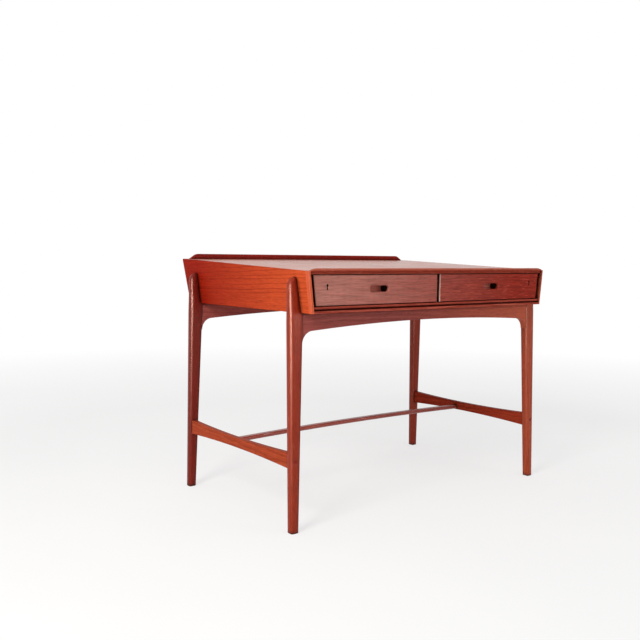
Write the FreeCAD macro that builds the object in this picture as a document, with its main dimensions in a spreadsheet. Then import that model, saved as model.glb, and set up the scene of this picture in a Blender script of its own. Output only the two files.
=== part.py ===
import FreeCAD, Part
import math
import os
import re
import Sketcher

# A writing desk: a shallow case with leaning sides, a gently sloping top and two drawers,
# carried between four tapered legs with arched aprons and an H-stretcher.
# Millimetres. X runs across the desk, Y from front to back, Z up from the floor.

SIZES = {
    # Case
    "desk_width": 996,
    "desk_depth": 690,
    "back_rise": 28,
    "case_underside": 605,
    "case_height": 115,
    "side_lean": 14,
    "back_lean": 21,
    "panel_thickness": 18.5,
    "edging_width": 7,
    "edging_depth": 14,
    "edging_round": 2.5,
    "top_thickness": 20,
    "top_margin": 7,
    "rail_depth": 26,
    "lip_drop": 8.8,
    "lip_rise": 7.2,
    "lip_width": 8,
    "lip_run": 23,
    "lip_nose": 5.5,
    "lip_round": 1.5,
    "lip_band": 4.5,
    "band_setback": 4,
    "bead_bevel": 3.5,
    "bottom_rail_height": 18.5,
    "bead_height": 7,
    "hollow_height": 5.5,
    "hollow_setback": 9,
    "bottom_thickness": 12,
    "back_thickness": 16,
    "back_inset": 2,
    "corner_round": 5,
    "gallery_rise": 16.3,
    "gallery_thickness": 14,
    "gallery_inset": 4,
    "gallery_run": 25,
    "gallery_shoulder": 28,
    "gallery_round": 3,
    "divider_thickness": 12,
    "divider_setback": 45,
    # Legs
    "foot_flare": 22,
    "leg_top_flare": 20.5,
    "foot_size": 23.5,
    "foot_bevel": 2,
    "leg_radius": 6.5,
    "leg_inner_radius": 2.5,
    "leg_shoulder": 6,
    "leg_top_drop": 18,
    "frame_offset": -9,
    "foot_inset": 58,
    "knee_drop": 25,
    "knee_inset": 71,
    "knee_depth": 27,
    "leg_top_inset": 73.5,
    "leg_top_depth": 19,
    "crown_flat": 1.8,
    # Aprons and stretchers
    "apron_thickness": 22,
    "apron_setback": 2.5,
    "apron_end_height": 86,
    "apron_fillet": 36,
    "apron_arch": 15,
    "apron_toe": 1.5,
    "apron_tenon_height": 44,
    "apron_tenon_thickness": 10,
    "apron_tenon_length": 14,
    "apron_shoulder": 14,
    "stretcher_height": 199,
    "stretcher_end": 44,
    "stretcher_waist": 29,
    "stretcher_thickness": 18,
    "stretcher_tenon_height": 26,
    "stretcher_tenon_thickness": 9,
    "stretcher_tenon_length": 12,
    "stretcher_bevel": 1.5,
    "bar_place": 40,
    "bar_drop": 5,
    "bar_width": 24,
    "bar_depth": 13,
    "bar_rise": 7,
    "bar_round": 4.5,
    "bar_tenon_width": 14,
    "bar_tenon_depth": 8,
    "bar_tenon_length": 10,
    "joint_gap": 0.3,
    "plug_diameter": 10,
    "plug_depth": 5,
    # Drawers
    "front_setback": 5,
    "front_thickness": 20,
    "front_bevel": 1.5,
    "drawer_gap": 2,
    "end_gap": 1,
    "centre_play": 0.75,
    "drawer_side_thickness": 12,
    "drawer_side_drop": 18,
    "drawer_back_space": 126,
    "drawer_back_thickness": 12,
    "drawer_back_drop": 4,
    "side_housing": 7,
    "drawer_board": 5,
    "groove_depth": 5,
    "groove_height": 7,
    "runner_width": 16,
    "runner_play": 0.3,
    "runner_overhang": 61,
    "kicker_play": 1.5,
    "kicker_width": 16,
    "stop_width": 24,
    "stop_height": 34,
    "stop_depth": 14,
    # Finger pulls
    "slot_length": 70,
    "slot_height": 18,
    "slot_round": 5,
    "slot_web": 8,
    "hollow_length": 92,
    "hollow_rise": 34,
    "block_margin": 10,
    "block_wall": 3,
    "block_thickness": 16,
    "block_floor": 6,
    # Locks
    "lock_clear": 8,
    "key_drop": 28,
    "key_bow": 7,
    "key_blade": 3.6,
    "key_foot": 5,
    "key_length": 10,
    "lock_width": 36,
    "lock_height": 42,
    "lock_depth": 10,
    "lock_plate": 1.2,
    "lock_flange": 4,
    "bolt_width": 14,
    "bolt_thickness": 6,
    "bolt_length": 24,
    "bolt_throw": 6,
    "bolt_gap": 0.4,
    "strike_length": 30,
    "strike_margin": 2.2,
    "strike_thickness": 1,
    # Cuts
    "overrun": 5,
}

LEFT = -1
RIGHT = 1
FRONT = -1
BACK = 1
SIDE_NAMES = {LEFT: "left", RIGHT: "right"}
END_NAMES = {FRONT: "front", BACK: "back"}

# Heights and depths that several pieces share, as formulas of the named sizes
FRONT_HEIGHT = "(case_underside + case_height)"
FRONT_PLANE = "(-desk_depth / 2)"
BACK_PLANE = "(desk_depth / 2)"
PEAK = f"({FRONT_HEIGHT} + back_rise)"
EDGING_BACK = "(edging_depth - desk_depth / 2)"
RAIL_BACK = "(rail_depth - desk_depth / 2)"
GALLERY_FRONT = "(desk_depth / 2 - gallery_thickness)"
DIVIDER_FRONT = "(divider_setback - desk_depth / 2)"
LIP_UNDERSIDE = f"({FRONT_HEIGHT} - lip_drop)"
LIP_TOP = f"({FRONT_HEIGHT} + lip_rise)"
FLOOR_TOP = "(case_underside + bottom_thickness)"
RAIL_TOP = "(case_underside + bottom_rail_height)"
TOP_HALF = "(desk_width / 2 - top_margin)"
LEG_TOP = f"({FRONT_HEIGHT} - leg_top_drop)"
LEG_TOP_HALF = "(desk_width / 2 + leg_top_flare)"
LEG_TOP_REACH = "(desk_depth / 2 - leg_top_inset)"
KNEE = "(case_underside - knee_drop)"
KNEE_REACH = "(desk_depth / 2 - knee_inset)"
FOOT_HALF = "(desk_width / 2 + foot_flare)"
FOOT_REACH = "(desk_depth / 2 - foot_inset)"
APRON_FOOT = "(case_underside - apron_end_height)"
APRON_REACH = f"({KNEE_REACH} + knee_depth / 2 - apron_setback)"
APRON_TENON_LOW = "(case_underside - apron_shoulder - apron_tenon_height)"
BAR_HEIGHT = "(stretcher_height - bar_drop)"
DRAWER_FACE = "(front_setback - desk_depth / 2)"
DRAWER_REAR = f"({DRAWER_FACE} + front_thickness)"
DRAWER_BOTTOM = f"({RAIL_TOP} + drawer_gap)"
DRAWER_TOP = f"({LIP_UNDERSIDE} - drawer_gap)"
DRAWER_INNER = "(divider_thickness / 2 + centre_play)"
SIDE_TOP = f"({DRAWER_TOP} - drawer_side_drop)"
RUNNER_TOP = f"({DRAWER_BOTTOM} - runner_play)"
BOARD_INNER = f"({DRAWER_INNER} + drawer_side_thickness)"
BOARD_BOTTOM = f"({DRAWER_BOTTOM} + groove_height)"
BOARD_TOP = f"({BOARD_BOTTOM} + drawer_board)"
SLOT_BACK = f"({DRAWER_FACE} + slot_web)"
KEY_HEIGHT = f"({DRAWER_TOP} - key_drop)"
LOCK_FRONT = f"({DRAWER_REAR} - lock_depth)"
LOCK_BOTTOM = f"({DRAWER_TOP} - lock_height)"
PLATE_BOTTOM = f"({LOCK_BOTTOM} - lock_flange)"
BOLT_FLOOR = f"({DRAWER_TOP} - bolt_length - bolt_gap)"
BOLT_MIDDLE = f"({DRAWER_REAR} - lock_depth / 2)"
BOLT_FRONT_WALL = f"({BOLT_MIDDLE} - bolt_thickness / 2 - bolt_gap)"
BOLT_BACK_WALL = f"({BOLT_MIDDLE} + bolt_thickness / 2 + bolt_gap)"
STRIKE_FRONT = f"({BOLT_FRONT_WALL} - strike_margin)"
STRIKE_BACK = f"({BOLT_BACK_WALL} + strike_margin)"


def side_at(height):
    """Distance of a side panel's outer face from the middle, at a height."""
    return f"(desk_width / 2 - side_lean * ({FRONT_HEIGHT} - {height}) / case_height)"


def inside_at(height):
    """Distance of a side panel's inner face from the middle, at a height."""
    return f"({side_at(height)} - panel_thickness)"


def drawer_outer_at(height):
    """Distance of a drawer's leaning outer end from the middle, at a height."""
    return f"({inside_at(height)} - end_gap)"


def board_outer_at(height):
    """Distance of the inner face of a drawer's outer side from the middle, at a height."""
    return f"({drawer_outer_at(height)} - drawer_side_thickness)"


def surface_at(depth):
    """Height of the sloping desk top at a depth."""
    return f"({FRONT_HEIGHT} + back_rise * ({depth} + desk_depth / 2) / desk_depth)"


def top_underside_at(depth):
    """Height of the underside of the sloping desk top at a depth."""
    return f"({surface_at(depth)} - top_thickness)"


def back_at(height):
    """Depth of the leaning back edge of the case at a height."""
    return f"(desk_depth / 2 - back_lean * ({PEAK} - {height}) / (case_height + back_rise))"


def back_inner_at(height):
    """Depth of the inner face of the leaning back panel at a height."""
    return f"({back_at(height)} - back_inset - back_thickness)"


def leg_inner_at(height):
    """Inner face of a leg below the case, at a height."""
    foot = f"({FOOT_HALF} - foot_size)"
    head = f"({side_at('case_underside')} - leg_shoulder)"
    return f"({foot} + ({head} - {foot}) * {height} / case_underside)"


def leg_outer_at(height):
    """Outer face of a leg, at a height."""
    return f"({FOOT_HALF} + (leg_top_flare - foot_flare) * {height} / {LEG_TOP})"


def leg_reach_at(height, face):
    """Distance of a leg's outward (1) or inward (-1) face from the frame's middle, below the knee."""
    foot = f"({FOOT_REACH} + {face} * foot_size / 2)"
    knee = f"({KNEE_REACH} + {face} * knee_depth / 2)"
    return f"({foot} + ({knee} - {foot}) * {height} / {KNEE})"


def leg_top_reach_at(height, face):
    """The same distance above the knee, where the leg narrows to its upper end."""
    knee = f"({KNEE_REACH} + {face} * knee_depth / 2)"
    top = f"({LEG_TOP_REACH} + {face} * leg_top_depth / 2)"
    return f"({knee} + ({top} - {knee}) * ({height} - {KNEE}) / ({LEG_TOP} - {KNEE}))"


GALLERY_UNDERSIDE = top_underside_at(GALLERY_FRONT)
# Where the inner face of the leaning back meets the underside of the sloping top
BACK_SLOPE = "(back_rise / desk_depth * back_lean / (case_height + back_rise))"
BACK_CORNER = f"(({back_inner_at(GALLERY_UNDERSIDE)} - {BACK_SLOPE} * {GALLERY_FRONT}) / (1 - {BACK_SLOPE}))"
DOME_RADIUS = f"({LEG_TOP_HALF} - {side_at(LEG_TOP)} - crown_flat)"
STRETCHER_X = f"(({leg_inner_at('stretcher_height')} + {leg_outer_at('stretcher_height')}) / 2)"
STRETCHER_INNER = f"({STRETCHER_X} - stretcher_thickness / 2)"
BAR_TIP = f"({STRETCHER_INNER} + bar_tenon_length)"
DRAWER_END = f"({back_inner_at('case_underside')} - drawer_back_space)"
RUNNER_BACK = f"({DRAWER_END} + runner_overhang)"
BOARD_TIP = f"({board_outer_at(BOARD_BOTTOM)} + groove_depth)"
PULL_HEIGHT = f"(({BOARD_TOP} + {top_underside_at(RAIL_BACK)}) / 2)"
PULL_X = f"(({DRAWER_INNER} + {drawer_outer_at(PULL_HEIGHT)}) / 2)"
LOCK_X = f"({board_outer_at(PLATE_BOTTOM)} - lock_clear - lock_flange - lock_width / 2)"
PLATE_TOP = f"({top_underside_at(RAIL_BACK)} - drawer_gap)"

PARALLEL_SHARE = 0.999
NEAR_SHARE = 0.01
X_AXIS = FreeCAD.Vector(1, 0, 0)
Y_AXIS = FreeCAD.Vector(0, 1, 0)
Z_AXIS = FreeCAD.Vector(0, 0, 1)

doc = FreeCAD.newDocument("WritingDesk")
sheet = doc.addObject("Spreadsheet::Sheet", "Sizes")
for row, (alias, size) in enumerate(SIZES.items(), start=1):
    sheet.set(f"A{row}", alias)
    sheet.set(f"B{row}", str(size))
    sheet.setAlias(f"B{row}", alias)
doc.recompute()


def bind(formula):
    """The formula with each named size written as a reference to its cell."""
    return re.sub(
        r"[a-z_]+",
        lambda word: f"Sizes.{word.group()}" if word.group() in SIZES else word.group(),
        formula,
    )


def number(formula):
    return float(sheet.evalExpression(bind(formula)))


def times(sign, formula):
    return f"{sign} * {formula}"


def span(sign, near, far):
    """Low and high end of a stretch that lies on the left (-1) or right (1)."""
    if sign > 0:
        return near, far
    return times(sign, far), times(sign, near)


def flip(sign, corners):
    """Corners of an outline drawn for the right side, mirrored for the left side."""
    return [(times(sign, corner[0]), corner[1], *turned(sign, corner[2:])) for corner in corners]


def turned(sign, arc):
    return [(radius, sign * turn) for radius, turn in arc]


def frame_y(end, reach):
    """Depth of a place on the leg frame at the front (-1) or back (1)."""
    return f"(frame_offset + {end} * {reach})"


def frame_span(end, near, far):
    """Low and high depth of a stretch on the leg frame, from near to far from its middle."""
    low, high = span(end, near, far)
    return f"(frame_offset + {low})", f"(frame_offset + {high})"


def rectangle(left, right, low, high):
    return [(left, low), (right, low), (right, high), (left, high)]


def stadium(x, z, length, height):
    """A slot with round ends, drawn as two lines and four quarter arcs."""
    radius = f"({height} / 2)"
    run = f"(({length} - {height}) / 2)"
    arc = (radius, 1)
    return [
        (f"({x} - {run})", f"({z} - {radius})"),
        (f"({x} + {run})", f"({z} - {radius})", arc),
        (f"({x} + {run} + {radius})", z, arc),
        (f"({x} + {run})", f"({z} + {radius})"),
        (f"({x} - {run})", f"({z} + {radius})", arc),
        (f"({x} - {run} - {radius})", z, arc),
    ]


def new_body(label):
    body = doc.addObject("PartDesign::Body", label)
    body.Label = label
    return body


def sketch_on(body, plane, offset):
    """A sketch on one of the body's own origin planes, moved along the plane's normal."""
    sketch = body.newObject("Sketcher::SketchObject", f"{body.Name}_outline")
    support = next(face for face in body.Origin.OriginFeatures if face.Role == f"{plane}_Plane")
    sketch.AttachmentSupport = [(support, "")]
    sketch.MapMode = "FlatFace"
    sketch.setExpression("AttachmentOffset.Base.z", bind(offset))
    return sketch


def pin(sketch, geometry, point, formulas):
    """Hold a point of a sketch at the values of two formulas."""
    for kind, formula in zip(("DistanceX", "DistanceY"), formulas):
        constraint = Sketcher.Constraint(kind, -1, 1, geometry, point, number(formula))
        index = sketch.addConstraint(constraint)
        sketch.setExpression(f"Constraints[{index}]", bind(formula))


def arc_between(start, end, radius, turn):
    """The short arc from start to end, anticlockwise when turn is 1."""
    chord = end - start
    middle = (start + end) * 0.5
    reach = math.sqrt(max(radius * radius - chord.Length * chord.Length / 4, 0))
    normal = FreeCAD.Vector(-chord.y, chord.x, 0).normalize()
    centre = middle + normal * (reach * turn)
    ends = (start, end) if turn > 0 else (end, start)
    angles = [math.atan2(point.y - centre.y, point.x - centre.x) for point in ends]
    if angles[1] < angles[0]:
        angles[1] += 2 * math.pi
    circle = Part.Circle(centre, FreeCAD.Vector(0, 0, 1), radius)
    return Part.ArcOfCircle(circle, angles[0], angles[1])


def draw(sketch, corners):
    """A closed outline. A corner with a third item starts an arc of that radius and turn."""
    points = [FreeCAD.Vector(number(corner[0]), number(corner[1]), 0) for corner in corners]
    edges = []
    for index, corner in enumerate(corners):
        start = points[index]
        end = points[(index + 1) % len(points)]
        if len(corner) == 2:
            edge = sketch.addGeometry(Part.LineSegment(start, end))
            edges.append((edge, 1, 2))
            continue
        radius, turn = corner[2]
        edge = sketch.addGeometry(arc_between(start, end, number(radius), turn))
        edges.append((edge, 1, 2) if turn > 0 else (edge, 2, 1))
        index = sketch.addConstraint(Sketcher.Constraint("Radius", edge, number(radius)))
        sketch.setExpression(f"Constraints[{index}]", bind(radius))
    for index, (edge, start, end) in enumerate(edges):
        following, next_start, _ = edges[(index + 1) % len(edges)]
        sketch.addConstraint(Sketcher.Constraint("Coincident", edge, end, following, next_start))
        pin(sketch, edge, start, corners[index][:2])


def pad(body, plane, corners, low, high):
    """Add the outline, drawn on a plane, from low to high along the axis square to that plane."""
    sketch = sketch_on(body, plane, f"-{high}" if plane == "XZ" else low)
    draw(sketch, corners)
    feature = body.newObject("PartDesign::Pad", f"{body.Name}_pad")
    feature.Profile = sketch
    feature.setExpression("Length", bind(f"{high} - {low}"))
    doc.recompute()
    return body


def cut_sketch(body, plane, low, high):
    return sketch_on(body, plane, f"-{low}" if plane == "XZ" else high)


def cut_with(body, sketch, low, high):
    """Cut a sketch through the body, from low to high, and make sure that it took something away."""
    before = body.Shape.Volume
    feature = body.newObject("PartDesign::Pocket", f"{body.Name}_cut")
    feature.Profile = sketch
    feature.setExpression("Length", bind(f"{high} - {low}"))
    doc.recompute()
    if not body.Shape.Volume < before:
        raise RuntimeError(f"a cut in {body.Label} took nothing away")


def cut(body, plane, corners, low, high):
    sketch = cut_sketch(body, plane, low, high)
    draw(sketch, corners)
    cut_with(body, sketch, low, high)


def drill(body, plane, centre, diameter, low, high):
    sketch = cut_sketch(body, plane, low, high)
    middle = FreeCAD.Vector(number(centre[0]), number(centre[1]), 0)
    circle = Part.Circle(middle, FreeCAD.Vector(0, 0, 1), number(diameter) / 2)
    edge = sketch.addGeometry(circle)
    index = sketch.addConstraint(Sketcher.Constraint("Diameter", edge, number(diameter)))
    sketch.setExpression(f"Constraints[{index}]", bind(diameter))
    pin(sketch, edge, 3, centre)
    cut_with(body, sketch, low, high)


def soften(body, kind, size, wanted):
    """Round (Fillet) or bevel (Chamfer) the edges of the body that the test picks out."""
    base = body.Tip
    names = [f"Edge{index}" for index, edge in enumerate(base.Shape.Edges, start=1) if wanted(edge)]
    feature = body.newObject(f"PartDesign::{kind}", f"{body.Name}_soft")
    feature.Base = (base, names)
    feature.setExpression("Radius" if kind == "Fillet" else "Size", bind(size))
    doc.recompute()


def runs_along(edge, axis):
    """Whether an edge is straight and parallel to an axis."""
    direction = edge.Vertexes[-1].Point - edge.Vertexes[0].Point
    return direction.Length > 0 and abs(direction.normalize() * axis) > PARALLEL_SHARE


NEAR = number("overrun") * NEAR_SHARE


def lies_at(edge, **places):
    """Whether an edge's middle lies at the given x, y or z."""
    middle = edge.CenterOfGravity
    return all(abs(getattr(middle, axis) - number(place)) < NEAR for axis, place in places.items())


def cut_to_surface(body, side):
    """Take away what stands above the sloping surface of the desk top."""
    above = f"({PEAK} + overrun)"
    before = f"({FRONT_PLANE} - overrun)"
    behind = f"({BACK_PLANE} + overrun)"
    slope = [(before, surface_at(before)), (behind, surface_at(behind)), (behind, above), (before, above)]
    cut(body, "YZ", slope, *span(side, "0", "desk_width"))


def make_side_panel(side):
    """A leaning panel whose top edge slopes and whose back edge leans, rebated for the desk top
    and the front rail, with a rounded corner at the back."""
    body = new_body(f"{SIDE_NAMES[side]}_side_panel")
    slab = [
        (inside_at("case_underside"), "case_underside"),
        (side_at("case_underside"), "case_underside"),
        (side_at(PEAK), PEAK),
        (inside_at(PEAK), PEAK),
    ]
    pad(body, "XZ", flip(side, slab), EDGING_BACK, BACK_PLANE)
    above = f"({PEAK} + overrun)"
    below = "(case_underside - overrun)"
    before = f"({FRONT_PLANE} - overrun)"
    behind = f"({BACK_PLANE} + overrun)"
    cut_to_surface(body, side)
    lean = [(back_at(below), below), (behind, below), (behind, above), (back_at(above), above)]
    cut(body, "YZ", lean, *span(side, "0", "desk_width"))
    rebate = [
        (RAIL_BACK, top_underside_at(RAIL_BACK)),
        (GALLERY_FRONT, GALLERY_UNDERSIDE),
        (GALLERY_FRONT, above),
        (RAIL_BACK, above),
    ]
    cut(body, "YZ", rebate, *span(side, "0", TOP_HALF))
    seat = [
        ("0", LIP_UNDERSIDE),
        (f"({side_at(LIP_UNDERSIDE)} - edging_width)", LIP_UNDERSIDE),
        (f"({side_at(above)} - edging_width)", above),
        ("0", above),
    ]
    cut(body, "XZ", flip(side, seat), before, RAIL_BACK)
    soften(body, "Fillet", "corner_round", lambda edge: runs_along(edge, X_AXIS)
           and lies_at(edge, y=BACK_PLANE, z=PEAK))
    return body


def make_side_edging(side):
    """The thin solid strip on the front edge of a side panel, up to the surface of the top."""
    body = new_body(f"{SIDE_NAMES[side]}_side_edging")
    above = f"({FRONT_HEIGHT} + overrun)"
    strip = [
        (f"({side_at('case_underside')} - edging_width)", "case_underside"),
        (side_at("case_underside"), "case_underside"),
        (side_at(above), above),
        (f"({side_at(above)} - edging_width)", above),
    ]
    pad(body, "XZ", flip(side, strip), FRONT_PLANE, EDGING_BACK)
    cut_to_surface(body, side)
    middle = f"(({FRONT_HEIGHT} + case_underside) / 2)"
    corner = times(side, side_at(middle))
    soften(body, "Fillet", "edging_round", lambda edge: lies_at(edge, x=corner, y=FRONT_PLANE, z=middle))
    return body


def cut_rail_ends(body, inset, low, high):
    """Trim both ends of a front rail along the leaning sides."""
    below = "(case_underside - overrun)"
    above = f"({LIP_TOP} + overrun)"
    outside = "(desk_width / 2 + overrun)"
    waste = [
        (f"({side_at(below)} - {inset})", below),
        (outside, below),
        (outside, above),
        (f"({side_at(above)} - {inset})", above),
    ]
    for side in (LEFT, RIGHT):
        cut(body, "XZ", flip(side, waste), low, high)


def make_front_rail():
    """The rail over the drawers: a set-back band under a raised lip with a rounded nose, which curves
    down to the side edgings at both ends."""
    body = new_body("front_lip_rail")
    band = f"({FRONT_PLANE} + band_setback)"
    lip_back = f"({FRONT_PLANE} + lip_width)"
    section = [
        (band, LIP_UNDERSIDE),
        (RAIL_BACK, LIP_UNDERSIDE),
        (RAIL_BACK, surface_at(RAIL_BACK)),
        (lip_back, surface_at(lip_back)),
        (lip_back, f"({LIP_TOP} - lip_round)", ("lip_round", 1)),
        (f"({lip_back} - lip_round)", LIP_TOP),
        (f"({FRONT_PLANE} + lip_nose)", LIP_TOP, ("lip_nose", 1)),
        (FRONT_PLANE, f"({LIP_TOP} - lip_nose)"),
        (FRONT_PLANE, f"({LIP_UNDERSIDE} + lip_band + bead_bevel)"),
        (band, f"({LIP_UNDERSIDE} + lip_band)"),
    ]
    pad(body, "YZ", section, "(-desk_width / 2)", "(desk_width / 2)")
    before = f"({FRONT_PLANE} - overrun)"
    cut_rail_ends(body, "edging_width", before, f"({RAIL_BACK} + overrun)")
    above = f"({LIP_TOP} + overrun)"
    outside = "(desk_width / 2 + overrun)"
    end = f"({side_at(FRONT_HEIGHT)} - edging_width)"
    shoulder = f"({end} - lip_run)"
    waste = [
        (end, FRONT_HEIGHT),
        (outside, FRONT_HEIGHT),
        (outside, above),
        (shoulder, above),
        (shoulder, LIP_TOP, (waist_radius("lip_run", "lip_rise"), -1)),
    ]
    for side in (LEFT, RIGHT):
        cut(body, "XZ", flip(side, waste), before, lip_back)
        place = times(side, LOCK_X)
        bolt = "(bolt_width / 2 + bolt_gap)"
        mortise = rectangle(
            f"({place} - {bolt})", f"({place} + {bolt})", BOLT_FRONT_WALL, BOLT_BACK_WALL
        )
        cut(body, "XY", mortise, LIP_UNDERSIDE, f"({DRAWER_TOP} + bolt_throw + drawer_gap)")
        plate = rectangle(
            f"({place} - strike_length / 2)", f"({place} + strike_length / 2)", STRIKE_FRONT, STRIKE_BACK
        )
        cut(body, "XY", plate, LIP_UNDERSIDE, f"({LIP_UNDERSIDE} + strike_thickness)")
    return body


def make_strike_plates():
    """Two thin plates in the underside of the front rail, each with a slot for its bolt."""
    plates = []
    for side in (LEFT, RIGHT):
        place = times(side, LOCK_X)
        body = new_body(f"{SIDE_NAMES[side]}_strike")
        blank = rectangle(
            f"({place} - strike_length / 2)", f"({place} + strike_length / 2)", STRIKE_FRONT, STRIKE_BACK
        )
        pad(body, "XY", blank, LIP_UNDERSIDE, f"({LIP_UNDERSIDE} + strike_thickness)")
        bolt = "(bolt_width / 2 + bolt_gap)"
        slot = rectangle(f"({place} - {bolt})", f"({place} + {bolt})", BOLT_FRONT_WALL, BOLT_BACK_WALL)
        below = f"({LIP_UNDERSIDE} - overrun)"
        cut(body, "XY", slot, below, f"({LIP_UNDERSIDE} + strike_thickness + overrun)")
        plates.append(body)
    return group("lock_strike_plates", plates)


def group(label, members):
    """Like pieces that share one node, each a solid of its own."""
    compound = doc.addObject("Part::Compound", label)
    compound.Links = members
    compound.Label = label
    doc.recompute()
    return compound


def make_bottom_rail():
    """The rail under the drawers: a proud bead below, a shadow hollow, and a set-back band on top."""
    body = new_body("front_bottom_rail")
    bead_top = "(case_underside + bead_height)"
    hollow_top = f"({bead_top} + hollow_height)"
    hollow = f"({FRONT_PLANE} + hollow_setback)"
    band = f"({FRONT_PLANE} + band_setback)"
    section = [
        (FRONT_PLANE, "case_underside"),
        (RAIL_BACK, "case_underside"),
        (RAIL_BACK, RAIL_TOP),
        (band, RAIL_TOP),
        (band, hollow_top),
        (hollow, hollow_top),
        (hollow, bead_top),
        (FRONT_PLANE, bead_top),
    ]
    pad(body, "YZ", section, "(-desk_width / 2)", "(desk_width / 2)")
    behind = f"({RAIL_BACK} + overrun)"
    cut_rail_ends(body, "edging_width", f"({FRONT_PLANE} - overrun)", behind)
    cut_rail_ends(body, "panel_thickness", EDGING_BACK, behind)
    front_edges = ("case_underside", bead_top)
    soften(
        body,
        "Fillet",
        "edging_round",
        lambda edge: any(lies_at(edge, x="0", y=FRONT_PLANE, z=height) for height in front_edges),
    )
    return body


def make_top_panel():
    body = new_body("top_panel")
    slab = [
        (RAIL_BACK, top_underside_at(RAIL_BACK)),
        (GALLERY_FRONT, GALLERY_UNDERSIDE),
        (GALLERY_FRONT, surface_at(GALLERY_FRONT)),
        (RAIL_BACK, surface_at(RAIL_BACK)),
    ]
    return pad(body, "YZ", slab, f"(-{TOP_HALF})", TOP_HALF)


def make_gallery():
    """The low board along the back of the top, with ends that fall to the top in a rounded slope."""
    body = new_body("back_gallery")
    crest = f"({surface_at(BACK_PLANE)} + gallery_rise)"
    half = inside_at(PEAK)
    face = [
        (times(LEFT, inside_at(GALLERY_UNDERSIDE)), GALLERY_UNDERSIDE),
        (inside_at(GALLERY_UNDERSIDE), GALLERY_UNDERSIDE),
        (half, PEAK),
        (f"({half} - gallery_inset)", PEAK),
        (f"({half} - gallery_inset - gallery_run)", crest),
        (f"(-{half} + gallery_inset + gallery_run)", crest),
        (f"(-{half} + gallery_inset)", PEAK),
        (times(LEFT, half), PEAK),
    ]
    pad(body, "XZ", face, GALLERY_FRONT, BACK_PLANE)
    below = f"({GALLERY_UNDERSIDE} - overrun)"
    behind = f"({BACK_PLANE} + overrun)"
    lean = [(back_at(below), below), (behind, below), (behind, PEAK), (back_at(PEAK), PEAK)]
    cut(body, "YZ", lean, "(-desk_width)", "desk_width")
    soften(
        body, "Fillet", "gallery_shoulder", lambda edge: runs_along(edge, Y_AXIS) and lies_at(edge, z=crest)
    )
    soften(body, "Fillet", "gallery_round", lambda edge: edge.CenterOfGravity.z > number(PEAK) + NEAR
           and not runs_along(edge, Y_AXIS))
    return body


def make_bottom_panel():
    body = new_body("bottom_panel")
    slab = [
        (times(LEFT, inside_at("case_underside")), "case_underside"),
        (inside_at("case_underside"), "case_underside"),
        (inside_at(FLOOR_TOP), FLOOR_TOP),
        (times(LEFT, inside_at(FLOOR_TOP)), FLOOR_TOP),
    ]
    return pad(body, "XZ", slab, RAIL_BACK, back_inner_at("case_underside"))


def make_back_panel():
    """The leaning back, between the sides and under the gallery and the rear edge of the top."""
    body = new_body("back_panel")
    slab = [
        (back_inner_at("case_underside"), "case_underside"),
        (f"({back_at('case_underside')} - back_inset)", "case_underside"),
        (f"({back_at(GALLERY_UNDERSIDE)} - back_inset)", GALLERY_UNDERSIDE),
        (GALLERY_FRONT, GALLERY_UNDERSIDE),
        (BACK_CORNER, top_underside_at(BACK_CORNER)),
    ]
    pad(body, "YZ", slab, "(-desk_width / 2)", "(desk_width / 2)")
    cut_rail_ends(body, "panel_thickness", "0", f"({BACK_PLANE} + overrun)")
    return body


def make_divider():
    """The upright between the drawers, under the sloping top."""
    body = new_body("centre_divider")
    board = [
        (DIVIDER_FRONT, FLOOR_TOP),
        (back_inner_at(FLOOR_TOP), FLOOR_TOP),
        (BACK_CORNER, top_underside_at(BACK_CORNER)),
        (DIVIDER_FRONT, top_underside_at(DIVIDER_FRONT)),
    ]
    return pad(body, "YZ", board, "(-divider_thickness / 2)", "(divider_thickness / 2)")


def make_outer_runner(side):
    """A strip along the side panel, under the leaning outer side of a drawer."""
    body = new_body(f"{SIDE_NAMES[side]}_outer_runner")
    inner = f"({drawer_outer_at(DRAWER_BOTTOM)} - runner_width)"
    strip = [
        (inner, FLOOR_TOP),
        (inside_at(FLOOR_TOP), FLOOR_TOP),
        (inside_at(RUNNER_TOP), RUNNER_TOP),
        (inner, RUNNER_TOP),
    ]
    return pad(body, "XZ", flip(side, strip), RAIL_BACK, RUNNER_BACK)


def make_inner_runner(side):
    body = new_body(f"{SIDE_NAMES[side]}_inner_runner")
    low, high = span(side, "(divider_thickness / 2)", f"({DRAWER_INNER} + runner_width)")
    return pad(body, "XZ", rectangle(low, high, FLOOR_TOP, RUNNER_TOP), DIVIDER_FRONT, RUNNER_BACK)


def make_kicker(side, label, near):
    """A strip under the top that keeps an open drawer from tipping."""
    body = new_body(f"{SIDE_NAMES[side]}_{label}_kicker")
    low = f"({SIDE_TOP} + kicker_play)"
    strip = [
        (DIVIDER_FRONT, low),
        (RUNNER_BACK, low),
        (RUNNER_BACK, top_underside_at(RUNNER_BACK)),
        (DIVIDER_FRONT, top_underside_at(DIVIDER_FRONT)),
    ]
    return pad(body, "YZ", strip, *span(side, near, f"({near} + kicker_width)"))


def make_drawer_stops():
    """Four blocks on the bottom panel that the drawer backs close against."""
    blocks = []
    for side in (LEFT, RIGHT):
        inner = f"({DRAWER_INNER} + runner_width + stop_width)"
        outer = f"({drawer_outer_at(DRAWER_BOTTOM)} - runner_width - 2 * stop_width)"
        for name, near in (("inner", inner), ("outer", outer)):
            body = new_body(f"{SIDE_NAMES[side]}_{name}_stop")
            low, high = span(side, near, f"({near} + stop_width)")
            block = rectangle(low, high, FLOOR_TOP, f"({FLOOR_TOP} + stop_height)")
            front = f"({DRAWER_END} + joint_gap)"
            blocks.append(pad(body, "XZ", block, front, f"({front} + stop_depth)"))
    return group("drawer_stops", blocks)


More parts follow.
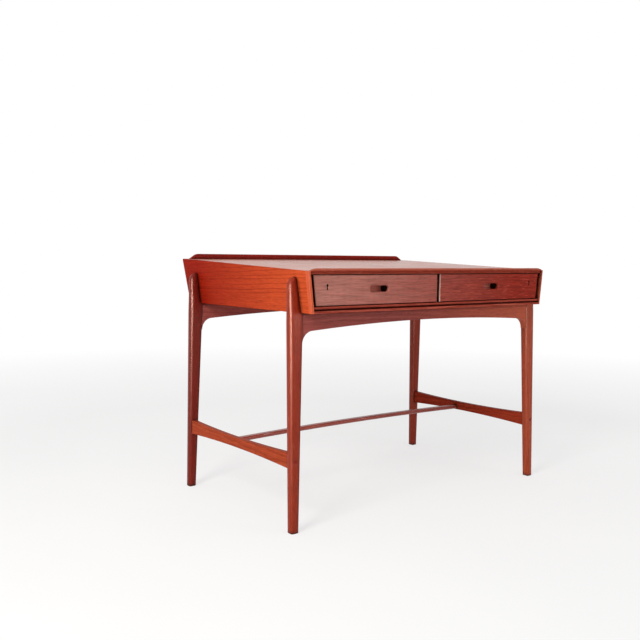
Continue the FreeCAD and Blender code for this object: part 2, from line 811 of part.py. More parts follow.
def leg_profile():
    """Front view of a right leg. It carries the case on a narrow shoulder. Above that its inner face follows
    the lean of the side panel, and the upper end is a quarter round that runs on from the outer face."""
    slope = f"((foot_flare - leg_top_flare) / {LEG_TOP})"
    stretch = f"sqrt(1 + {slope} * {slope})"
    start = f"({LEG_TOP} - {DOME_RADIUS} + {DOME_RADIUS} * {slope} / {stretch})"
    return [
        (leg_inner_at("0"), "0"),
        (FOOT_HALF, "0"),
        (leg_outer_at(start), start, (DOME_RADIUS, 1)),
        (f"({leg_outer_at(start)} - {DOME_RADIUS} / {stretch})", LEG_TOP),
        (side_at(LEG_TOP), LEG_TOP),
        (side_at("case_underside"), "case_underside"),
        (leg_inner_at("case_underside"), "case_underside"),
    ]


def trim_leg(body, end, face, away):
    """Taper a leg towards the front or back: cut it back to its outward (1) or inward (-1) face."""
    low = "(-overrun)"
    high = f"({LEG_TOP} + overrun)"
    waste = [
        (leg_reach_at(low, face), low),
        (leg_reach_at(KNEE, face), KNEE),
        (leg_top_reach_at(high, face), high),
        (away, high),
        (away, low),
    ]
    waste = [(frame_y(end, reach), height) for reach, height in waste]
    cut(body, "YZ", waste, "(-desk_width)", "desk_width")


def is_outer(edge):
    """Whether an edge lies on the outer half of a leg."""
    middle = edge.CenterOfGravity
    height = f"{middle.z:f}"
    return abs(middle.x) > number(f"({leg_inner_at(height)} + {leg_outer_at(height)}) / 2")


def make_leg(side, end):
    """A tapered leg whose upper end is fixed flat to the outside of the case."""
    body = new_body(f"{SIDE_NAMES[side]}_{END_NAMES[end]}_leg")
    pad(body, "XZ", flip(side, leg_profile()), *frame_span(end, "0", f"({FOOT_REACH} + foot_size)"))
    trim_leg(body, end, 1, f"({FOOT_REACH} + 2 * foot_size)")
    trim_leg(body, end, -1, "(-foot_size)")

    def upright(edge):
        across = runs_along(edge, X_AXIS) or runs_along(edge, Y_AXIS)
        return not across and edge.CenterOfGravity.z > NEAR

    def crown(edge):
        return runs_along(edge, X_AXIS) and lies_at(edge, z=LEG_TOP)

    def inner(edge):
        return upright(edge) and not is_outer(edge) and edge.Length > 2 * number("leg_radius")

    soften(body, "Fillet", "leg_radius", lambda edge: crown(edge) or upright(edge) and is_outer(edge))
    soften(body, "Fillet", "leg_inner_radius", inner)
    soften(body, "Chamfer", "foot_bevel", lambda edge: lies_at(edge, z="0"))
    tenon_y = frame_y(end, f"({APRON_REACH} - apron_thickness / 2)")
    mortise = rectangle(
        f"({tenon_y} - apron_tenon_thickness / 2)",
        f"({tenon_y} + apron_tenon_thickness / 2)",
        APRON_TENON_LOW,
        f"({APRON_TENON_LOW} + apron_tenon_height)",
    )
    mouth = leg_inner_at("case_underside")
    cut(body, "YZ", mortise, *span(side, "0", f"({mouth} + apron_tenon_length)"))
    low, high = span(
        side,
        f"({STRETCHER_X} - stretcher_tenon_thickness / 2)",
        f"({STRETCHER_X} + stretcher_tenon_thickness / 2)",
    )
    mortise = rectangle(
        low,
        high,
        "(stretcher_height - stretcher_tenon_height / 2)",
        "(stretcher_height + stretcher_tenon_height / 2)",
    )
    face = leg_reach_at("stretcher_height", -1)
    cut(body, "XZ", mortise, *frame_span(end, "0", f"({face} + stretcher_tenon_length)"))
    centre = (times(side, STRETCHER_X), "stretcher_height")
    outward = leg_reach_at("stretcher_height", 1)
    plug_seat = f"({outward} - plug_depth)"
    drill(body, "XZ", centre, "plug_diameter", *frame_span(end, plug_seat, f"({outward} + overrun)"))
    return body


def make_apron(end):
    """An apron with an arched lower edge that sweeps down along the legs, and a tenon at each end."""
    body = new_body(f"{END_NAMES[end]}_apron")
    foot = leg_inner_at(APRON_FOOT)
    shoulder = leg_inner_at("case_underside")
    toe = f"({foot} - apron_toe)"
    spring = f"({toe} - apron_fillet)"
    spring_height = f"({APRON_FOOT} + apron_fillet)"
    sweep = ("apron_fillet", -1)
    outline = [
        (times(LEFT, shoulder), "case_underside"),
        (times(LEFT, foot), APRON_FOOT),
        (times(LEFT, toe), APRON_FOOT, sweep),
        (times(LEFT, spring), spring_height, (waist_radius(spring, "apron_arch"), -1)),
        (spring, spring_height, sweep),
        (toe, APRON_FOOT),
        (foot, APRON_FOOT),
        (shoulder, "case_underside"),
    ]
    pad(body, "XZ", outline, *frame_span(end, f"({APRON_REACH} - apron_thickness)", APRON_REACH))
    middle = frame_y(end, f"({APRON_REACH} - apron_thickness / 2)")
    half = "(apron_tenon_thickness / 2 - joint_gap)"
    tenon = rectangle(
        f"({middle} - {half})",
        f"({middle} + {half})",
        f"({APRON_TENON_LOW} + joint_gap)",
        f"({APRON_TENON_LOW} + apron_tenon_height - joint_gap)",
    )
    for side in (LEFT, RIGHT):
        tip = f"({shoulder} + apron_tenon_length - joint_gap)"
        pad(body, "YZ", tenon, *span(side, f"({shoulder} - overrun)", tip))
    return body


def make_side_stretcher(side):
    """A waisted board between a front and a back leg, narrowest in the middle, with shoulders that lean
    with the legs and a tenon at each end."""
    body = new_body(f"{SIDE_NAMES[side]}_side_stretcher")
    low = "(stretcher_height - stretcher_end / 2)"
    high = "(stretcher_height + stretcher_end / 2)"
    foot = leg_reach_at(low, -1)
    head = leg_reach_at(high, -1)
    dip = "((stretcher_end - stretcher_waist) / 2)"
    board = [
        (frame_y(FRONT, foot), low, (waist_radius(foot, dip), -1)),
        (frame_y(BACK, foot), low),
        (frame_y(BACK, head), high, (waist_radius(head, dip), -1)),
        (frame_y(FRONT, head), high),
    ]
    outer = f"({STRETCHER_X} + stretcher_thickness / 2)"
    pad(body, "YZ", board, *span(side, STRETCHER_INNER, outer))
    soften(
        body,
        "Chamfer",
        "stretcher_bevel",
        lambda edge: edge.Length > number("stretcher_end") + number("stretcher_thickness"),
    )
    mortise = rectangle(
        "(bar_place - bar_tenon_width / 2)",
        "(bar_place + bar_tenon_width / 2)",
        f"({BAR_HEIGHT} - bar_tenon_depth / 2)",
        f"({BAR_HEIGHT} + bar_tenon_depth / 2)",
    )
    cut(body, "YZ", mortise, *span(side, f"({STRETCHER_INNER} - overrun)", BAR_TIP))
    face = leg_reach_at("stretcher_height", -1)
    half = "(stretcher_tenon_thickness / 2 - joint_gap)"
    rise = "(stretcher_tenon_height / 2 - joint_gap)"
    low, high = span(side, f"({STRETCHER_X} - {half})", f"({STRETCHER_X} + {half})")
    tenon = rectangle(low, high, f"(stretcher_height - {rise})", f"(stretcher_height + {rise})")
    for end in (FRONT, BACK):
        tip = f"({face} + stretcher_tenon_length - joint_gap)"
        pad(body, "XZ", tenon, *frame_span(end, f"({face} - overrun)", tip))
    return body


def waist_radius(half, dip):
    """Radius of an arc that dips by a given depth over twice a given half length."""
    return f"(({half} * {half} + {dip} * {dip}) / (2 * {dip}))"


def make_centre_stretcher():
    """A flat bar, bowed a little upwards, tenoned into the two side stretchers."""
    body = new_body("centre_stretcher")
    half = STRETCHER_INNER
    low = f"({BAR_HEIGHT} - bar_depth / 2)"
    high = f"({BAR_HEIGHT} + bar_depth / 2)"
    radius = waist_radius(half, "bar_rise")
    bar = [
        (times(LEFT, half), low, (radius, -1)),
        (half, low),
        (half, high, (radius, 1)),
        (times(LEFT, half), high),
    ]
    pad(body, "XZ", bar, "(bar_place - bar_width / 2)", "(bar_place + bar_width / 2)")

    def is_long(edge):
        return edge.Length > number(half)

    levels = [edge.CenterOfGravity.z for edge in body.Shape.Edges if is_long(edge)]
    for kind, level in (("Fillet", max(levels)), ("Chamfer", min(levels))):
        soften(
            body,
            kind,
            "bar_round",
            lambda edge: is_long(edge) and abs(edge.CenterOfGravity.z - level) < NEAR,
        )
    for side in (LEFT, RIGHT):
        tenon = rectangle(
            "(bar_place - bar_tenon_width / 2 + joint_gap)",
            "(bar_place + bar_tenon_width / 2 - joint_gap)",
            f"({BAR_HEIGHT} - bar_tenon_depth / 2 + joint_gap)",
            f"({BAR_HEIGHT} + bar_tenon_depth / 2 - joint_gap)",
        )
        pad(body, "YZ", tenon, *span(side, half, f"({BAR_TIP} - joint_gap)"))
    return body


def cylinder(name, diameter, length, base, axis):
    """A round rod from a base point along an axis."""
    rod = doc.addObject("Part::Cylinder", name)
    rod.setExpression("Radius", bind(f"{diameter} / 2"))
    rod.setExpression("Height", bind(length))
    rod.Placement.Rotation = FreeCAD.Rotation(Z_AXIS, axis)
    for letter, formula in zip("xyz", base):
        rod.setExpression(f"Placement.Base.{letter}", bind(formula))
    return rod


def make_stretcher_plugs():
    """The wooden plugs in the outward faces of the legs, where the stretchers are fixed."""
    plugs = []
    diameter = "(plug_diameter - 2 * joint_gap)"
    outward = leg_reach_at("stretcher_height", 1)
    for side in (LEFT, RIGHT):
        for end in (FRONT, BACK):
            seat = (times(side, STRETCHER_X), frame_y(end, f"({outward} - plug_depth)"), "stretcher_height")
            plugs.append(cylinder("plug", diameter, "plug_depth", seat, Y_AXIS * end))
    return group("stretcher_plugs", plugs)


def make_drawer_front(side):
    """A drawer front whose outer end leans with the case, with a finger slot, a keyhole, the lock's
    mortise and housings for the drawer's sides and bottom."""
    body = new_body(f"{SIDE_NAMES[side]}_drawer_front")
    face = [
        (DRAWER_INNER, DRAWER_BOTTOM),
        (drawer_outer_at(DRAWER_BOTTOM), DRAWER_BOTTOM),
        (drawer_outer_at(DRAWER_TOP), DRAWER_TOP),
        (DRAWER_INNER, DRAWER_TOP),
    ]
    pad(body, "XZ", flip(side, face), DRAWER_FACE, DRAWER_REAR)
    soften(body, "Chamfer", "front_bevel", lambda edge: lies_at(edge, y=DRAWER_FACE))
    before = f"({DRAWER_FACE} - overrun)"
    behind = f"({DRAWER_REAR} + overrun)"
    slot = stadium(PULL_X, PULL_HEIGHT, "slot_length", "slot_height")
    cut(body, "XZ", flip(side, slot), before, behind)
    soften(
        body,
        "Fillet",
        "slot_round",
        lambda edge: lies_at(edge, y=DRAWER_FACE) and edge.BoundBox.XLength < number("slot_length")
        and abs(edge.CenterOfGravity.z - number(PULL_HEIGHT)) < number("slot_height"),
    )
    hollow = stadium(PULL_X, PULL_HEIGHT, "hollow_length", "hollow_rise")
    cut(body, "XZ", flip(side, hollow), SLOT_BACK, behind)
    key_low = f"({KEY_HEIGHT} - key_length)"
    for height, diameter in ((KEY_HEIGHT, "key_bow"), (key_low, "key_foot")):
        drill(body, "XZ", (times(side, LOCK_X), height), diameter, before, LOCK_FRONT)
    low, high = span(side, f"({LOCK_X} - key_blade / 2)", f"({LOCK_X} + key_blade / 2)")
    cut(body, "XZ", rectangle(low, high, key_low, KEY_HEIGHT), before, LOCK_FRONT)
    low, high = span(side, f"({LOCK_X} - lock_width / 2)", f"({LOCK_X} + lock_width / 2)")
    above = f"({DRAWER_TOP} + overrun)"
    cut(body, "XZ", rectangle(low, high, LOCK_BOTTOM, above), LOCK_FRONT, behind)
    housing = f"({DRAWER_REAR} - side_housing)"
    for name in ("inner", "outer"):
        rebate = side_board(name, f"({DRAWER_BOTTOM} - overrun)", SIDE_TOP, "overrun")
        cut(body, "XZ", flip(side, rebate), housing, behind)
    low, high = span(side, f"({BOARD_INNER} - overrun)", f"({board_outer_at(BOARD_TOP)} + overrun)")
    groove = f"({DRAWER_REAR} - groove_depth)"
    cut(body, "XZ", rectangle(low, high, BOARD_BOTTOM, BOARD_TOP), groove, behind)
    return body


def side_board(name, low, high, spare):
    """Outline across the upright inner or the leaning outer side of a drawer, with spare on its outside."""
    if name == "inner":
        return rectangle(f"({DRAWER_INNER} - {spare})", BOARD_INNER, low, high)
    return [
        (board_outer_at(low), low),
        (f"({drawer_outer_at(low)} + {spare})", low),
        (f"({drawer_outer_at(high)} + {spare})", high),
        (board_outer_at(high), high),
    ]


def make_drawer_sides(side):
    """Both side boards of a drawer, each grooved for the drawer's bottom."""
    boards = []
    housing = f"({DRAWER_REAR} - side_housing)"
    grooves = {
        "inner": (f"({BOARD_INNER} - groove_depth)", f"({BOARD_INNER} + overrun)"),
        "outer": (f"({board_outer_at(BOARD_BOTTOM)} - overrun)", BOARD_TIP),
    }
    for name, groove in grooves.items():
        body = new_body(f"{SIDE_NAMES[side]}_drawer_{name}_side")
        board = side_board(name, DRAWER_BOTTOM, SIDE_TOP, "0")
        pad(body, "XZ", flip(side, board), housing, DRAWER_END)
        before = f"({DRAWER_FACE} - overrun)"
        behind = f"({DRAWER_END} + overrun)"
        cut(body, "XZ", rectangle(*span(side, *groove), BOARD_BOTTOM, BOARD_TOP), before, behind)
        boards.append(body)
    return boards


def make_drawer_back(side):
    body = new_body(f"{SIDE_NAMES[side]}_drawer_back")
    high = f"({SIDE_TOP} - drawer_back_drop)"
    board = [
        (BOARD_INNER, BOARD_TOP),
        (board_outer_at(BOARD_TOP), BOARD_TOP),
        (board_outer_at(high), high),
        (BOARD_INNER, high),
    ]
    return pad(body, "XZ", flip(side, board), f"({DRAWER_END} - drawer_back_thickness)", DRAWER_END)


def make_drawer_bottom(side):
    """The thin board in the drawer's grooves, under the back."""
    body = new_body(f"{SIDE_NAMES[side]}_drawer_bottom")
    low, high = span(side, f"({BOARD_INNER} - groove_depth + joint_gap)", f"({BOARD_TIP} - joint_gap)")
    front = f"({DRAWER_REAR} - groove_depth + joint_gap)"
    return pad(body, "XY", rectangle(low, high, front, DRAWER_END), BOARD_BOTTOM, BOARD_TOP)


def make_pull_block(side):
    """The hollowed block behind a finger slot, which closes the pull towards the inside."""
    body = new_body(f"{SIDE_NAMES[side]}_pull_block")
    half = "(hollow_length / 2 + block_margin)"
    rise = "(hollow_rise / 2 + block_wall)"
    low, high = span(side, f"({PULL_X} - {half})", f"({PULL_X} + {half})")
    floor = f"({DRAWER_REAR} + block_thickness)"
    block = rectangle(low, high, f"({PULL_HEIGHT} - {rise})", f"({PULL_HEIGHT} + {rise})")
    pad(body, "XZ", block, DRAWER_REAR, floor)
    hollow = stadium(PULL_X, PULL_HEIGHT, "hollow_length", "hollow_rise")
    cut(body, "XZ", flip(side, hollow), f"({DRAWER_REAR} - overrun)", f"({floor} - block_floor)")
    return body


def make_lock_case(side):
    """A cut-in drawer lock: a box in the front's mortise, with a back plate, a key hole and a channel
    for the bolt."""
    body = new_body(f"{SIDE_NAMES[side]}_lock_case")
    half = "(lock_width / 2 - joint_gap)"
    low, high = span(side, f"({LOCK_X} - {half})", f"({LOCK_X} + {half})")
    box = rectangle(low, high, f"({LOCK_BOTTOM} + joint_gap)", DRAWER_TOP)
    pad(body, "XZ", box, f"({LOCK_FRONT} + joint_gap)", DRAWER_REAR)
    half = "(lock_width / 2 + lock_flange)"
    low, high = span(side, f"({LOCK_X} - {half})", f"({LOCK_X} + {half})")
    plate = rectangle(low, high, PLATE_BOTTOM, PLATE_TOP)
    pad(body, "XZ", plate, DRAWER_REAR, f"({DRAWER_REAR} + lock_plate)")
    half = "(bolt_width / 2 + bolt_gap)"
    low, high = span(side, f"({LOCK_X} - {half})", f"({LOCK_X} + {half})")
    channel = rectangle(low, high, BOLT_FLOOR, f"({DRAWER_TOP} + overrun)")
    cut(body, "XZ", channel, BOLT_FRONT_WALL, BOLT_BACK_WALL)
    key = (times(side, LOCK_X), f"({KEY_HEIGHT} - key_length / 2)")
    drill(body, "XZ", key, "key_bow", DRAWER_FACE, BOLT_MIDDLE)
    return body


def make_lock_bolt(side):
    body = new_body(f"{SIDE_NAMES[side]}_lock_bolt")
    low, high = span(side, f"({LOCK_X} - bolt_width / 2)", f"({LOCK_X} + bolt_width / 2)")
    bolt = rectangle(low, high, f"({DRAWER_TOP} - bolt_length)", f"({DRAWER_TOP} - bolt_gap)")
    front = f"({BOLT_MIDDLE} - bolt_thickness / 2)"
    return pad(body, "XZ", bolt, front, f"({BOLT_MIDDLE} + bolt_thickness / 2)")


def make_drawer(side):
    return [
        make_drawer_front(side),
        *make_drawer_sides(side),
        make_drawer_back(side),
        make_drawer_bottom(side),
        make_pull_block(side),
        make_lock_case(side),
        make_lock_bolt(side),
    ]


def make_base():
    return [
        *(make_leg(side, end) for side in (LEFT, RIGHT) for end in (FRONT, BACK)),
        *(make_apron(end) for end in (FRONT, BACK)),
        *(make_side_stretcher(side) for side in (LEFT, RIGHT)),
        make_centre_stretcher(),
        make_stretcher_plugs(),
    ]


def make_case():
    pieces = [
        make_top_panel(),
        make_front_rail(),
        make_gallery(),
        make_bottom_panel(),
        make_bottom_rail(),
        make_back_panel(),
        make_divider(),
        make_drawer_stops(),
        make_strike_plates(),
    ]
    for side in (LEFT, RIGHT):
        pieces += [
            make_side_panel(side),
            make_side_edging(side),
            make_outer_runner(side),
            make_inner_runner(side),
            make_kicker(side, "inner", DRAWER_INNER),
            make_kicker(side, "outer", f"({drawer_outer_at(SIDE_TOP)} - kicker_width)"),
        ]
    return pieces


pieces = make_base() + make_case() + make_drawer(LEFT) + make_drawer(RIGHT)
doc.recompute()
for item in doc.Objects:
    if "Invalid" in item.State or "Error" in item.State:
        raise RuntimeError(f"{item.Label} failed: {item.State}")
for piece in pieces:
    if piece.Shape.isNull() or not piece.Shape.isValid():
        raise RuntimeError(f"{piece.Label} has no valid shape")

os.makedirs("parts", exist_ok=True)
for piece in pieces:
    piece.Shape.exportStep(f"parts/{piece.Label}.step")
    print(piece.Label, len(piece.Shape.Solids), round(piece.Shape.Volume))
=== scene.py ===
import bpy
import math
from mathutils import Matrix, Vector
from types import SimpleNamespace
from typing import NamedTuple


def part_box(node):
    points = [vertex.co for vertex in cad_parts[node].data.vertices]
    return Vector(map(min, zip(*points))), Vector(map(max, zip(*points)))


# A teak writing desk on a white floor, lit softly from the left. All its shapes come from the frame.
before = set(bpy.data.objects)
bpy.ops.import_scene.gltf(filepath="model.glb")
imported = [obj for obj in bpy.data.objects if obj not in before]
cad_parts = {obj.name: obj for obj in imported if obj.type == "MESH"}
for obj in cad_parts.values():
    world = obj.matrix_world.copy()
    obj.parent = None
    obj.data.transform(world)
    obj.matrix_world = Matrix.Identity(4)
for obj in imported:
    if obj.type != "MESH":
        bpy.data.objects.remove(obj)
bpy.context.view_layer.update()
scene = bpy.context.scene
scene.view_settings.view_transform = "Standard"

ALONG_X, ALONG_Y, ALONG_Z = 0, 1, 2
WHITE = (1.0, 1.0, 1.0, 1.0)

# Features of the wood to the metre, along the grain and across it
DRIFT = (1.6, 7.0)
CLOUDS = (1.1, 5.0)
STREAKS = (15.0, 260.0)
FIBRES = (14.0, 620.0)
PORES = (45.0, 1500.0)
FLECKS = (34.0, 360.0)

# Features to the metre, alike in all directions, and dark lines to each ring
SMEARS = 9.0
TARNISH = 60.0
FLOOR_CLOUDS = 1.3
LINE_PITCH = 1.9

# Metres
EDGE_RADIUS = 0.0012
BRASS_EDGE_RADIUS = EDGE_RADIUS / 3
LEG_EDGE_RADIUS = 0.016
# CREVICE is the reach of the crevice measure, which paints shade into crevices and dulls their gloss
CREVICE = 0.02
GRAIN_DEPTH = 0.0004
BRUSH_DEPTH = GRAIN_DEPTH / 4
# The next two place the painted highlight on a cut end near the front
END_LIGHT_REACH = 0.007
END_LIGHT_SLACK = 0.0003
# The next three place the painted shade in the far end of each pull's hollow, past its lit part
PULL_LIT = 0.031
PIT_REACH = 0.012
PIT_BLUR = 0.003
# The next two place the painted shade below the lip's top edge
LIP_SHADE_START = 0.002
LIP_SHADE_FULL = 0.007

# How far each piece of wood is moved in the noise, so that no two look alike
SEED_WAVES = (12.9, 7.7, 4.3)
SEED_REACH = 3.0
BAND_SEED = 17.0
LINE_SEED = 5.0

# The part of a noise, an edge's turn or the open sky over which each effect comes in
NOISE_SPAN = (0.3, 0.7)
LINE_SPAN = (0.58, 0.68)
LINE_CLOUD_SPAN = (0.35, 0.6)
PORE_SPAN = (0.60, 0.72)
FLECK_SPAN = (0.60, 0.72)
WEAR_AND_HIGHLIGHT_SPAN = (0.42, 0.62)
TARNISH_SPAN = (0.35, 0.7)
FLOOR_SPAN = (0.35, 0.65)
EDGE_SPAN = (0.995, 0.80)
CREVICE_SPAN = (0.36, 0.86)
DULL_SPAN = (0.3, 0.8)

# Shares of colour, gloss and relief
TONE_PLACES = (0.1, 0.5, 0.9)
BAND_SHARE, CLOUD_SHARE = 0.62, 0.38
FIBRE_SHADES = (0.86, 1.08)
END_LIGHT_SHADES = (0.8, 1.1)
LINE_LEAST, LINE_DARKNESS = 0.3, 0.8
PORE_SHARE, PORE_DARKNESS = 0.4, 0.4
FLECK_BRIGHTNESS, FLECK_LIFT = 1.4, 0.04
# How pale the edges turn: partly wear and partly a painted highlight
WEAR_AND_HIGHLIGHT_LEAST, WEAR_AND_HIGHLIGHT_BRIGHTNESS, WEAR_AND_HIGHLIGHT_LIFT = 0.2, 1.35, 0.012
SMEAR_GLOSS, FIBRE_GLOSS = 0.1, 0.1
FIBRE_RELIEF, PORE_RELIEF, GRAIN_RELIEF = 0.5, 0.7, 0.2
BRUSHING = (4000.0, 4000.0, 90.0)
BRASS_WORN_SHARE, BRASS_BRIGHTNESS = 0.6, 1.3
BRASS_POLISH, BRASS_TARNISH, BRUSH_RELIEF = 0.08, 0.14, 0.15

# How finely the soft edges and the crevices are measured
EDGE_SAMPLES, ROUND_SAMPLES, CREVICE_SAMPLES = 6, 8, 8

# The screen's curve from written colours to linear ones
SCREEN_WHITE = 255
SCREEN_KNEE, SCREEN_SLOPE = 0.04045, 12.92
SCREEN_OFFSET, SCREEN_POWER = 0.055, 2.4


def srgb(red, green, blue):
    """A screen colour of 0 to 255 as the linear colour that a shader takes."""
    def linear(value):
        value = value / SCREEN_WHITE
        if value <= SCREEN_KNEE:
            return value / SCREEN_SLOPE
        return ((value + SCREEN_OFFSET) / (1 + SCREEN_OFFSET)) ** SCREEN_POWER
    return (linear(red), linear(green), linear(blue), 1.0)


def scaled(colour, factor, lift=0.0):
    """A colour made darker or lighter."""
    return tuple(min(1.0, channel * factor + lift) for channel in colour[:3]) + (1.0,)


class Tree:
    """Shader nodes, added one by one and linked as they come."""

    def __init__(self, owner):
        owner.use_nodes = True
        self.owner = owner
        self.nodes = owner.node_tree.nodes
        self.links = owner.node_tree.links
        self.nodes.clear()

    def fill(self, socket, value):
        if isinstance(value, bpy.types.NodeSocket):
            self.links.new(value, socket)
        else:
            socket.default_value = value

    def add(self, kind, inputs=None, **settings):
        node = self.nodes.new(f"ShaderNode{kind}")
        for name, value in settings.items():
            setattr(node, name, value)
        for key, value in (inputs or {}).items():
            self.fill(node.inputs[key], value)
        return node

    def math(self, operation, *values):
        return self.add("Math", dict(enumerate(values)), operation=operation).outputs[0]

    def vector(self, operation, first, second):
        key = 3 if operation == "SCALE" else 1
        return self.add("VectorMath", {0: first, key: second}, operation=operation)

    def axes(self, place):
        """The three coordinates of a place."""
        return self.add("SeparateXYZ", {0: place}).outputs

    def remap(self, value, span, to_low=0.0, to_high=1.0):
        """A value that goes from low to high over a span, and stays there on both sides."""
        low, high = span
        inputs = {"Value": value, "From Min": low, "From Max": high, "To Min": to_low, "To Max": to_high}
        return self.add("MapRange", inputs, clamp=True).outputs["Result"]

    def noise(self, vector, detail=2.0, rough=0.5):
        return self.add("TexNoise", {"Vector": vector, "Scale": 1.0, "Detail": detail, "Roughness": rough})

    def bands(self, distance, pitch, start, detail, rough):
        """Uneven bands along a distance, a given number to the metre."""
        inputs = {"W": self.math("MULTIPLY_ADD", distance, pitch, start), "Scale": 1.0, "Detail": detail,
                  "Roughness": rough}
        return self.add("TexNoise", inputs, noise_dimensions="1D").outputs["Fac"]

    def mix(self, factor, first, second, blend="MIX"):
        node = self.add("Mix", data_type="RGBA", blend_type=blend)
        for socket, value in zip((node.inputs[0], node.inputs[6], node.inputs[7]), (factor, first, second)):
            self.fill(socket, value)
        return node.outputs[2]

    def shade(self, colour, factor):
        """A colour times a grey factor."""
        grey = self.add("CombineColor", {0: factor, 1: factor, 2: factor}).outputs[0]
        return self.mix(1.0, colour, grey, "MULTIPLY")

    def ramp(self, value, places, colours):
        node = self.add("ValToRGB", {"Fac": value})
        elements = node.color_ramp.elements
        while len(elements) < len(places):
            elements.new(0.5)
        for element, place, colour in zip(elements, places, colours):
            element.position = place
            element.color = colour
        return node.outputs["Color"]

    def edges(self, radius):
        """The normal with softened edges, and how much each point lies on an edge."""
        soft = self.add("Bevel", {"Radius": radius}, samples=EDGE_SAMPLES).outputs["Normal"]
        flat = self.add("NewGeometry").outputs["Normal"]
        turn = self.vector("DOT_PRODUCT", soft, flat).outputs["Value"]
        return soft, self.remap(turn, EDGE_SPAN)

    def seen(self):
        """One for what the camera sees straight, in a mirror or through glass, and nought for light."""
        path = self.add("LightPath")
        straight = self.math("MAXIMUM", path.outputs["Is Camera Ray"], path.outputs["Is Glossy Ray"])
        return self.math("MAXIMUM", straight, path.outputs["Is Transmission Ray"])

    def close(self, shader, kind="OutputMaterial"):
        self.add(kind, {"Surface": shader.outputs[0]})
        return self.owner


class PaintedLight(NamedTuple):
    """A painted tone for light, sheen and shade: a colour that takes over by a share, from a start to an end
    along an axis.
    """
    axis: int
    start: float
    end: float
    colour: tuple
    share: float


# Tints of the polish, and colours of painted light, painted sheen, painted shade and a painted highlight
BLUSH = (1.0, 0.72, 0.62, 1.0)
AMBER = (1.0, 0.55, 0.25, 1.0)
SIDE_PAINTED_LIGHT = srgb(196, 80, 42)
APRON_PAINTED_LIGHT = srgb(192, 94, 66)
FRONT_PAINTED_SHEEN = srgb(180, 124, 112)
PAINTED_LIP_SHADE = srgb(126, 26, 6)
PIT_PAINTED_SHADE = srgb(44, 16, 12)
END_PAINTED_LIGHT = srgb(236, 212, 200)


def stretched(tree, place, grain, pitch):
    """Coordinates that are drawn out along the grain."""
    run, fine = pitch
    stretch = [fine, fine, fine]
    stretch[grain] = run
    return tree.vector("MULTIPLY", place, stretch).outputs[0]


def ring_radius(tree, place, moved, grain, pith, tilt, wander):
    """Distance from the log's slightly tilted and wavering pith."""
    drift = tree.noise(stretched(tree, moved, grain, DRIFT), detail=3.0, rough=0.55)
    drift = tree.add("SeparateColor", {0: drift.outputs["Color"]})
    axes = tree.axes(place)
    squares = []
    for index, axis in enumerate(axis for axis in range(3) if axis != grain):
        waver = tree.math("MULTIPLY_ADD", drift.outputs[index], 4 * wander, -2 * wander - pith[index])
        lean = tree.math("MULTIPLY_ADD", axes[grain], tilt[index], waver)
        reach = tree.math("ADD", axes[axis], lean)
        squares.append(tree.math("MULTIPLY", reach, reach))
    return tree.math("SQRT", tree.math("ADD", *squares))


def grain_pattern(tree, place, grain, seed, pith, tilt, rings, wander):
    """The patterns that make up the wood, all drawn out along its grain."""
    offset = Vector([math.sin(seed * wave) for wave in SEED_WAVES]) * SEED_REACH
    moved = tree.vector("ADD", place, offset).outputs[0]
    radius = ring_radius(tree, place, moved, grain, pith, tilt, wander)

    def drawn_out(pitch, **settings):
        return tree.noise(stretched(tree, moved, grain, pitch), **settings).outputs["Fac"]

    return SimpleNamespace(
        band=tree.bands(radius, rings, seed * BAND_SEED, detail=4.0, rough=0.62),
        line=tree.bands(radius, rings * LINE_PITCH, seed * LINE_SEED, detail=1.0, rough=0.5),
        cloud=drawn_out(CLOUDS),
        stripe=drawn_out(STREAKS),
        fibre=drawn_out(FIBRES, detail=3.0, rough=0.6),
        pore=tree.remap(drawn_out(PORES, detail=0.0), PORE_SPAN),
        fleck=tree.remap(drawn_out(FLECKS, detail=1.0), FLECK_SPAN),
    )


def grain_colour(tree, place, pattern, tones, figure, lines, streaks, flecks, painted_light):
    """The colour of fresh oiled wood: bands and clouds of its tones, painted light, sheen and shade along an
    axis where asked, streaks, fibres, dark lines and pores, and pale flecks."""
    dark, middle, light = tones
    bands = tree.math("MULTIPLY", pattern.band, BAND_SHARE)
    tone = tree.math("ADD", bands, tree.math("MULTIPLY", pattern.cloud, CLOUD_SHARE))
    tone = tree.remap(tone, NOISE_SPAN, 0.5 - figure / 2, 0.5 + figure / 2)
    colour = tree.ramp(tone, TONE_PLACES, tones)
    # Painted light, sheen and shade: a colour that takes over along one axis
    if painted_light:
        along = tree.axes(place)[painted_light.axis]
        colour = tree.mix(tree.remap(along, (painted_light.start, painted_light.end), 0.0, painted_light.share), colour, painted_light.colour)
    colour = tree.shade(colour, tree.remap(pattern.stripe, NOISE_SPAN, 1.0 - streaks, 1.0 + streaks))
    colour = tree.shade(colour, tree.remap(pattern.fibre, NOISE_SPAN, *FIBRE_SHADES))
    line = tree.remap(pattern.line, LINE_SPAN)
    line = tree.math("MULTIPLY", line, tree.remap(pattern.cloud, LINE_CLOUD_SPAN, LINE_LEAST, 1.0))
    colour = tree.mix(tree.math("MULTIPLY", line, lines), colour, scaled(dark, LINE_DARKNESS))
    colour = tree.mix(tree.math("MULTIPLY", pattern.pore, PORE_SHARE), colour, scaled(dark, PORE_DARKNESS))
    pale = scaled(light, FLECK_BRIGHTNESS, FLECK_LIFT)
    return tree.mix(tree.math("MULTIPLY", pattern.fleck, flecks), colour, pale)


